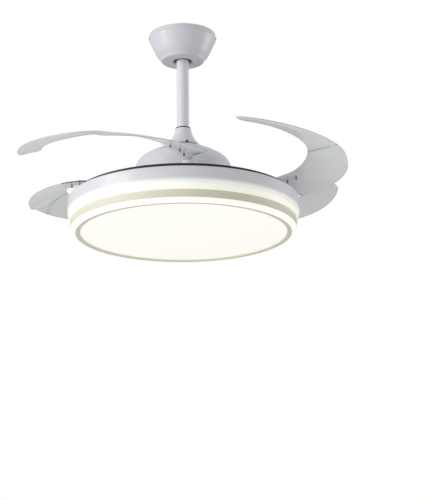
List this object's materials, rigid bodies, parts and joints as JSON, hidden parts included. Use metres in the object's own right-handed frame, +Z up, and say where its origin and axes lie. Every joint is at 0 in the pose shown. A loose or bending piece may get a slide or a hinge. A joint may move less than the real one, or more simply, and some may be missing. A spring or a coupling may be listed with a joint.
{
  "type": "retractable blade ceiling fan",
  "caption": "Ceiling fan with crescent blades that fold onto a round lamp, hung on a downrod under a domed canopy.",
  "frame": {"origin": "centre of the bracket's top face, which lies against the ceiling", "axes": "+Z up out of the ceiling face along the fan's axis, +X to the right and +Y away from the picture's viewer"},
  "size_m": [0.694, 0.694, 0.4584],
  "materials": {
    "white_paint": "smooth satin white powder coat",
    "white_plastic": "moulded white plastic, fine satin texture",
    "black_paint": "satin black paint",
    "rubber": "matt black rubber",
    "steel": "plain turned steel",
    "zinc": "zinc plated pressed steel",
    "cast_aluminium": "die cast, as cast",
    "nylon": "natural nylon",
    "smoke_acrylic": "cast acrylic with a light grey tint, polished edges",
    "opal_acrylic": "milky opal acrylic, lit from behind",
    "khaki_paint": "satin champagne paint",
    "laminations": "stacked electrical steel sheet",
    "copper": "enamelled copper wire",
    "ferrite": "sintered magnet, matt dark grey",
    "board": "aluminium board with white solder mask"
  },
  "bodies": {
    "mount": {"ceiling_bracket": "zinc", "canopy": "white_paint", "canopy_screw_left": "steel", "canopy_screw_right": "steel", "receiver": "white_plastic"},
    "hanging": {"hanger_ball": "nylon", "ball_pin": "steel", "downrod": "white_paint", "yoke": "cast_aluminium", "yoke_pin": "steel", "yoke_cover": "white_paint", "yoke_cover_screw": "black_paint", "yoke_seal": "rubber", "motor_shaft": "steel", "stator_hub": "cast_aluminium", "stator_core": "laminations", "stator_winding": "copper", "lamp_chassis": "black_paint", "lamp_hub_plate": "zinc", "shaft_nut": "steel", "led_board": "board", "led_driver": "white_plastic", "light_housing": "white_paint", "upper_light_ring": "opal_acrylic", "band_ring": "khaki_paint", "lower_light_ring": "opal_acrylic", "bezel_ring": "khaki_paint", "diffuser": "opal_acrylic"},
    "rotor": {"rotor_shell": "cast_aluminium", "dome_cover": "white_paint", "magnet_ring": "ferrite", "upper_bearing": "steel", "lower_bearing": "steel", "blade_carrier": "cast_aluminium", "pivot_pin_1": "steel", "pivot_pin_2": "steel", "pivot_pin_3": "steel", "pivot_pin_4": "steel", "return_spring_1": "steel", "return_spring_2": "steel", "return_spring_3": "steel", "return_spring_4": "steel"},
    "sync": {"sync_ring_gear": "nylon"},
    "blade_unit_1": {"blade_1": "smoke_acrylic", "blade_holder_1": "white_plastic", "blade_clamp_1": "steel", "blade_pinion_1": "nylon"},
    "blade_unit_2": {"blade_2": "smoke_acrylic", "blade_holder_2": "white_plastic", "blade_clamp_2": "steel", "blade_pinion_2": "nylon"},
    "blade_unit_3": {"blade_3": "smoke_acrylic", "blade_holder_3": "white_plastic", "blade_clamp_3": "steel", "blade_pinion_3": "nylon"},
    "blade_unit_4": {"blade_4": "smoke_acrylic", "blade_holder_4": "white_plastic", "blade_clamp_4": "steel", "blade_pinion_4": "nylon"}
  },
  "joints": [
    {"name": "hanger_swing", "type": "hinge", "parent": "mount", "child": "hanging", "pos_m": [0, 0, -0.0386], "axis": [0, 1, 0], "range_deg": [-10, 10]},
    {"name": "rotor_spin", "type": "hinge", "parent": "hanging", "child": "rotor", "pos_m": [0, 0, -0.3346], "axis": [0, 0, 1], "continuous": true},
    {"name": "sync_gear", "type": "hinge", "parent": "rotor", "child": "sync", "pos_m": [0, 0, -0.3666], "axis": [0, 0, 1], "range_deg": [-22, 19.5]},
    {"name": "blade_1_pivot", "type": "hinge", "parent": "rotor", "child": "blade_unit_1", "pos_m": [0.0127, -0.15448, -0.3546], "axis": [0, 0, 1], "range_deg": [-73.6, 84], "stiffness_Nm_per_rad": 0.03, "springref_deg": -73.63},
    {"name": "blade_2_pivot", "type": "hinge", "parent": "rotor", "child": "blade_unit_2", "pos_m": [0.15448, 0.0127, -0.3546], "axis": [0, 0, 1], "range_deg": [-73.6, 84], "stiffness_Nm_per_rad": 0.03, "springref_deg": -73.63},
    {"name": "blade_3_pivot", "type": "hinge", "parent": "rotor", "child": "blade_unit_3", "pos_m": [-0.0127, 0.15448, -0.3546], "axis": [0, 0, 1], "range_deg": [-73.6, 84], "stiffness_Nm_per_rad": 0.03, "springref_deg": -73.63},
    {"name": "blade_4_pivot", "type": "hinge", "parent": "rotor", "child": "blade_unit_4", "pos_m": [-0.15448, -0.0127, -0.3546], "axis": [0, 0, 1], "range_deg": [-73.6, 84], "stiffness_Nm_per_rad": 0.03, "springref_deg": -73.63}
  ],
  "couplings": [
    {"joint": "sync_gear", "follows": "blade_1_pivot", "ratio": -0.25},
    {"joint": "blade_2_pivot", "follows": "blade_1_pivot", "ratio": 1},
    {"joint": "blade_3_pivot", "follows": "blade_1_pivot", "ratio": 1},
    {"joint": "blade_4_pivot", "follows": "blade_1_pivot", "ratio": 1}
  ]
}
